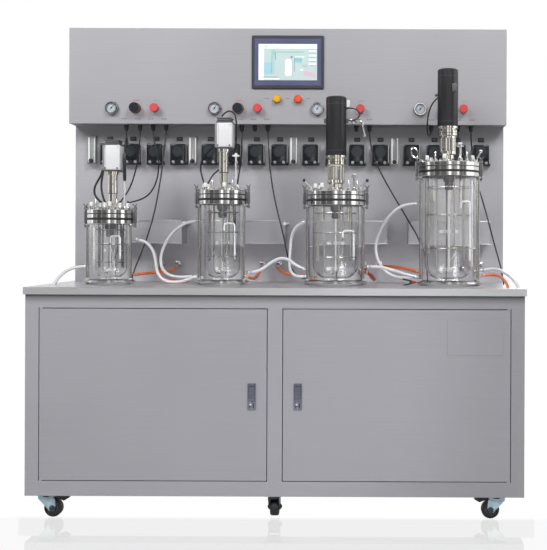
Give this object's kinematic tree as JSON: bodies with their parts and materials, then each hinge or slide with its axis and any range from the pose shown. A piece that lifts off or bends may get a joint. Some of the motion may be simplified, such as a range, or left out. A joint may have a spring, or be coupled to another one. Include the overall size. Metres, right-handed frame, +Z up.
{
  "type": "bench bioreactor",
  "caption": "Parallel stirred bioreactor station: jacketed glass vessels on a steel cabinet on casters, with a touch-screen header, pumps, gauges, shelves, hoses and cables.",
  "frame": {"origin": "on the floor under the middle of the cabinet's footprint", "axes": "+X to the right along the station, +Y to its back, +Z up"},
  "size_m": [1.812, 0.78, 1.88],
  "materials": {
    "cabinet_steel": "brushed",
    "door_steel": "brushed",
    "bright_steel": "polished",
    "zinc": "zinc plated",
    "wheel_rubber": "matt",
    "pedal_plastic": "matt",
    "bezel_plastic": "satin",
    "pump_plastic": "satin",
    "clear_plastic": "clear acrylic",
    "borosilicate": "clear",
    "motor_paint": "satin",
    "gland_plastic": "matt",
    "cable_black": "matt",
    "silicone": "satin",
    "knob_black": "satin",
    "knob_red": "satin",
    "button_green": "satin",
    "button_red": "satin",
    "lock_chrome": "polished"
  },
  "bodies": {
    "station": {"cabinet_body": "cabinet_steel", "worktop": "cabinet_steel", "upper_cabinet": "cabinet_steel", "rear_covers": "cabinet_steel", "door_hinge_pins": "zinc", "caster_plates": "zinc", "circulation_units": "bright_steel", "touch_screen": "bezel_plastic", "panel_instruments": "bright_steel", "peristaltic_pumps": "pump_plastic", "flowmeters": "clear_plastic", "bottle_shelves": "cabinet_steel", "wall_fittings": "bright_steel", "cable_glands": "gland_plastic", "glass_jars": "borosilicate", "jar_stands": "bright_steel", "vessel_heads": "bright_steel", "head_fittings": "bright_steel", "vessel_internals": "bright_steel", "stirrer_motors": "motor_paint", "sensor_cables": "cable_black", "jacket_hoses": "silicone"},
    "left_door": {"door_left": "door_steel", "lock_plate_left": "lock_chrome"},
    "left_lever": {"lock_lever_left": "lock_chrome"},
    "right_door": {"door_right": "door_steel", "lock_plate_right": "lock_chrome"},
    "right_lever": {"lock_lever_right": "lock_chrome"},
    "fork_front_left": {"caster_fork_front_left": "zinc"},
    "wheel_front_left": {"caster_wheel_front_left": "wheel_rubber"},
    "pedal_front_left": {"brake_pedal_front_left": "pedal_plastic"},
    "fork_front_middle": {"caster_fork_front_middle": "zinc"},
    "wheel_front_middle": {"caster_wheel_front_middle": "wheel_rubber"},
    "fork_front_right": {"caster_fork_front_right": "zinc"},
    "wheel_front_right": {"caster_wheel_front_right": "wheel_rubber"},
    "pedal_front_right": {"brake_pedal_front_right": "pedal_plastic"},
    "fork_rear_left": {"caster_fork_rear_left": "zinc"},
    "wheel_rear_left": {"caster_wheel_rear_left": "wheel_rubber"},
    "fork_rear_middle": {"caster_fork_rear_middle": "zinc"},
    "wheel_rear_middle": {"caster_wheel_rear_middle": "wheel_rubber"},
    "fork_rear_right": {"caster_fork_rear_right": "zinc"},
    "wheel_rear_right": {"caster_wheel_rear_right": "wheel_rubber"},
    "stirrer_shaft_1": {"stirrer_1": "bright_steel"},
    "pressure_knob_body_1": {"pressure_knob_1": "knob_black"},
    "valve_knob_body_1": {"valve_knob_1": "knob_red"},
    "flow_knob_body_1": {"flow_knob_1": "knob_black"},
    "stirrer_shaft_2": {"stirrer_2": "bright_steel"},
    "pressure_knob_body_2": {"pressure_knob_2": "knob_black"},
    "valve_knob_body_2": {"valve_knob_2": "knob_red"},
    "flow_knob_body_2": {"flow_knob_2": "knob_black"},
    "stirrer_shaft_3": {"stirrer_3": "bright_steel"},
    "pressure_knob_body_3": {"pressure_knob_3": "knob_black"},
    "valve_knob_body_3": {"valve_knob_3": "knob_red"},
    "flow_knob_body_3": {"flow_knob_3": "knob_black"},
    "stirrer_shaft_4": {"stirrer_4": "bright_steel"},
    "pressure_knob_body_4": {"pressure_knob_4": "knob_black"},
    "valve_knob_body_4": {"valve_knob_4": "knob_red"},
    "flow_knob_body_4": {"flow_knob_4": "knob_black"},
    "start_button_body": {"start_button": "button_green"},
    "stop_button_body": {"stop_button": "button_red"}
  },
  "joints": [
    {"name": "left_door_hinge", "type": "hinge", "parent": "station", "child": "left_door", "pos_m": [-0.8435, -0.377, 0.45], "axis": [0, 0, -1], "range_deg": [0, 100]},
    {"name": "left_lock_hinge", "type": "hinge", "parent": "left_door", "child": "left_lever", "pos_m": [-0.083, -0.3805, 0.4775], "axis": [-1, 0, 0], "range_deg": [0, 40]},
    {"name": "right_door_hinge", "type": "hinge", "parent": "station", "child": "right_door", "pos_m": [0.8435, -0.377, 0.45], "axis": [0, 0, 1], "range_deg": [0, 100]},
    {"name": "right_lock_hinge", "type": "hinge", "parent": "right_door", "child": "right_lever", "pos_m": [0.083, -0.3805, 0.4775], "axis": [-1, 0, 0], "range_deg": [0, 40]},
    {"name": "swivel_front_left", "type": "hinge", "parent": "station", "child": "fork_front_left", "pos_m": [-0.829, -0.34, 0.075], "axis": [0, 0, 1], "continuous": true},
    {"name": "roll_front_left", "type": "hinge", "parent": "fork_front_left", "child": "wheel_front_left", "pos_m": [-0.807, -0.34, 0.0325], "axis": [0, 1, 0], "continuous": true},
    {"name": "brake_front_left", "type": "hinge", "parent": "fork_front_left", "child": "pedal_front_left", "pos_m": [-0.802, -0.34, 0.071], "axis": [0, 1, 0], "range_deg": [0, 12]},
    {"name": "swivel_front_middle", "type": "hinge", "parent": "station", "child": "fork_front_middle", "pos_m": [-0.004, -0.34, 0.075], "axis": [0, 0, 1], "continuous": true},
    {"name": "roll_front_middle", "type": "hinge", "parent": "fork_front_middle", "child": "wheel_front_middle", "pos_m": [-0.004, -0.318, 0.0325], "axis": [-1, 0, 0], "continuous": true},
    {"name": "swivel_front_right", "type": "hinge", "parent": "station", "child": "fork_front_right", "pos_m": [0.804, -0.34, 0.075], "axis": [0, 0, 1], "continuous": true},
    {"name": "roll_front_right", "type": "hinge", "parent": "fork_front_right", "child": "wheel_front_right", "pos_m": [0.782, -0.34, 0.0325], "axis": [0, -1, 0], "continuous": true},
    {"name": "brake_front_right", "type": "hinge", "parent": "fork_front_right", "child": "pedal_front_right", "pos_m": [0.777, -0.34, 0.071], "axis": [0, -1, 0], "range_deg": [0, 12]},
    {"name": "swivel_rear_left", "type": "hinge", "parent": "station", "child": "fork_rear_left", "pos_m": [-0.829, 0.34, 0.075], "axis": [0, 0, 1], "continuous": true},
    {"name": "roll_rear_left", "type": "hinge", "parent": "fork_rear_left", "child": "wheel_rear_left", "pos_m": [-0.807, 0.34, 0.0325], "axis": [0, 1, 0], "continuous": true},
    {"name": "swivel_rear_middle", "type": "hinge", "parent": "station", "child": "fork_rear_middle", "pos_m": [-0.004, 0.34, 0.075], "axis": [0, 0, 1], "continuous": true},
    {"name": "roll_rear_middle", "type": "hinge", "parent": "fork_rear_middle", "child": "wheel_rear_middle", "pos_m": [-0.004, 0.318, 0.0325], "axis": [1, 0, 0], "continuous": true},
    {"name": "swivel_rear_right", "type": "hinge", "parent": "station", "child": "fork_rear_right", "pos_m": [0.804, 0.34, 0.075], "axis": [0, 0, 1], "continuous": true},
    {"name": "roll_rear_right", "type": "hinge", "parent": "fork_rear_right", "child": "wheel_rear_right", "pos_m": [0.782, 0.34, 0.0325], "axis": [0, -1, 0], "continuous": true},
    {"name": "stirrer_1_spin", "type": "hinge", "parent": "station", "child": "stirrer_shaft_1", "pos_m": [-0.672, -0.09, 1], "axis": [0, 0, 1], "continuous": true},
    {"name": "pressure_knob_1_turn", "type": "hinge", "parent": "station", "child": "pressure_knob_body_1", "pos_m": [-0.626, 0.118, 1.55], "axis": [0, -1, 0], "range_deg": [0, 720]},
    {"name": "valve_knob_1_turn", "type": "hinge", "parent": "station", "child": "valve_knob_body_1", "pos_m": [-0.546, 0.118, 1.55], "axis": [0, -1, 0], "range_deg": [0, 720]},
    {"name": "flow_knob_1_turn", "type": "hinge", "parent": "station", "child": "flow_knob_body_1", "pos_m": [-0.826, 0.184, 1.338], "axis": [0, -1, 0], "range_deg": [0, 720]},
    {"name": "stirrer_2_spin", "type": "hinge", "parent": "station", "child": "stirrer_shaft_2", "pos_m": [-0.235, -0.09, 1], "axis": [0, 0, 1], "continuous": true},
    {"name": "pressure_knob_2_turn", "type": "hinge", "parent": "station", "child": "pressure_knob_body_2", "pos_m": [-0.2035, 0.118, 1.55], "axis": [0, -1, 0], "range_deg": [0, 720]},
    {"name": "valve_knob_2_turn", "type": "hinge", "parent": "station", "child": "valve_knob_body_2", "pos_m": [-0.1235, 0.118, 1.55], "axis": [0, -1, 0], "range_deg": [0, 720]},
    {"name": "flow_knob_2_turn", "type": "hinge", "parent": "station", "child": "flow_knob_body_2", "pos_m": [-0.4035, 0.184, 1.338], "axis": [0, -1, 0], "range_deg": [0, 720]},
    {"name": "stirrer_3_spin", "type": "hinge", "parent": "station", "child": "stirrer_shaft_3", "pos_m": [0.207, -0.09, 1], "axis": [0, 0, 1], "continuous": true},
    {"name": "pressure_knob_3_turn", "type": "hinge", "parent": "station", "child": "pressure_knob_body_3", "pos_m": [0.219, 0.118, 1.55], "axis": [0, -1, 0], "range_deg": [0, 720]},
    {"name": "valve_knob_3_turn", "type": "hinge", "parent": "station", "child": "valve_knob_body_3", "pos_m": [0.299, 0.118, 1.55], "axis": [0, -1, 0], "range_deg": [0, 720]},
    {"name": "flow_knob_3_turn", "type": "hinge", "parent": "station", "child": "flow_knob_body_3", "pos_m": [0.019, 0.184, 1.338], "axis": [0, -1, 0], "range_deg": [0, 720]},
    {"name": "stirrer_4_spin", "type": "hinge", "parent": "station", "child": "stirrer_shaft_4", "pos_m": [0.648, -0.09, 1], "axis": [0, 0, 1], "continuous": true},
    {"name": "pressure_knob_4_turn", "type": "hinge", "parent": "station", "child": "pressure_knob_body_4", "pos_m": [0.6415, 0.118, 1.55], "axis": [0, -1, 0], "range_deg": [0, 720]},
    {"name": "valve_knob_4_turn", "type": "hinge", "parent": "station", "child": "valve_knob_body_4", "pos_m": [0.7215, 0.118, 1.55], "axis": [0, -1, 0], "range_deg": [0, 720]},
    {"name": "flow_knob_4_turn", "type": "hinge", "parent": "station", "child": "flow_knob_body_4", "pos_m": [0.4415, 0.184, 1.338], "axis": [0, -1, 0], "range_deg": [0, 720]},
    {"name": "start_button_press", "type": "slide", "parent": "station", "child": "start_button_body", "axis": [0, 1, 0], "range_m": [0, 0.004], "stiffness_N_per_m": 400, "springref_m": -0.003},
    {"name": "stop_button_press", "type": "slide", "parent": "station", "child": "stop_button_body", "axis": [0, 1, 0], "range_m": [0, 0.004], "stiffness_N_per_m": 400, "springref_m": -0.003}
  ]
}
